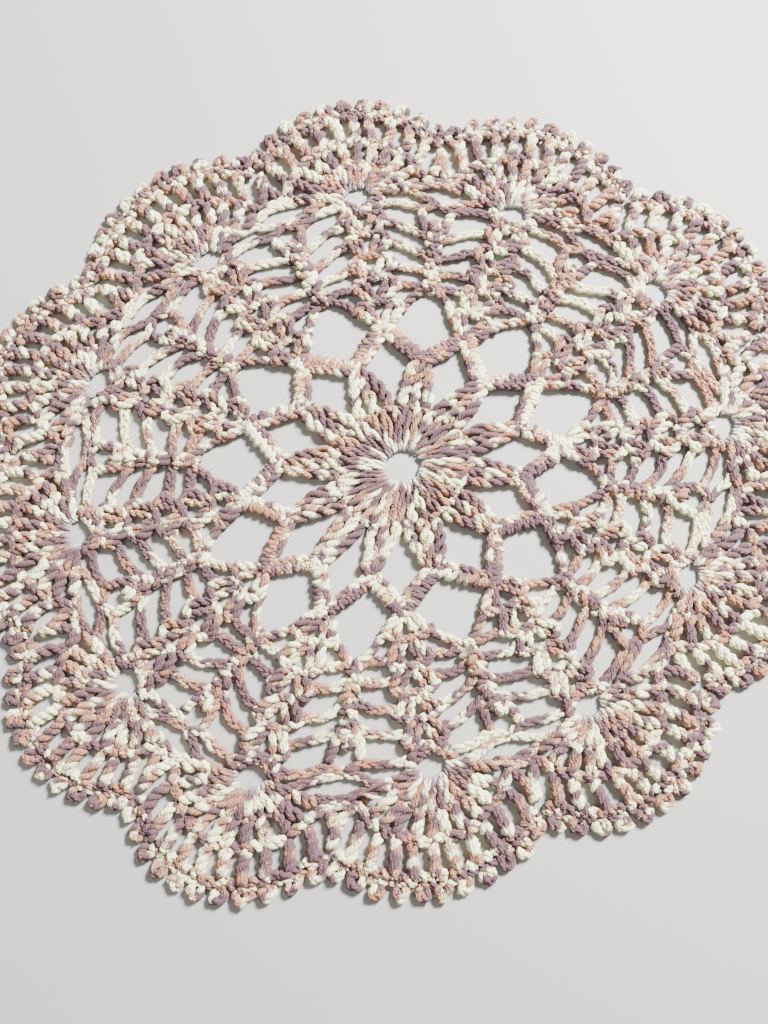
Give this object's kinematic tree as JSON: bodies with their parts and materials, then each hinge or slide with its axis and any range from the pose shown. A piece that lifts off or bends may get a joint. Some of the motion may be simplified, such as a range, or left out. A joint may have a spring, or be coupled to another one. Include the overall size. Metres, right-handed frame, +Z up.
{
  "type": "crocheted lace doily",
  "caption": "Large round crocheted lace doily in thick variegated cotton: petals round a small centre hole, shell-stitch spokes with chain ribs, and fans with a picot edge. Lies flat.",
  "frame": {"origin": "middle of the doily's box, on its underside", "axes": "+Z is up, out of the lying doily; the doily lies in X and Y; +Y points to the picture's top edge and +X to its right edge"},
  "size_m": [0.522, 0.489, 0.0042],
  "materials": {
    "cotton": "matt, slightly fuzzy plied cotton yarn, variegated in cream, salmon and mauve"
  },
  "bodies": {
    "root": {"doily": "cotton"}
  },
  "joints": []
}
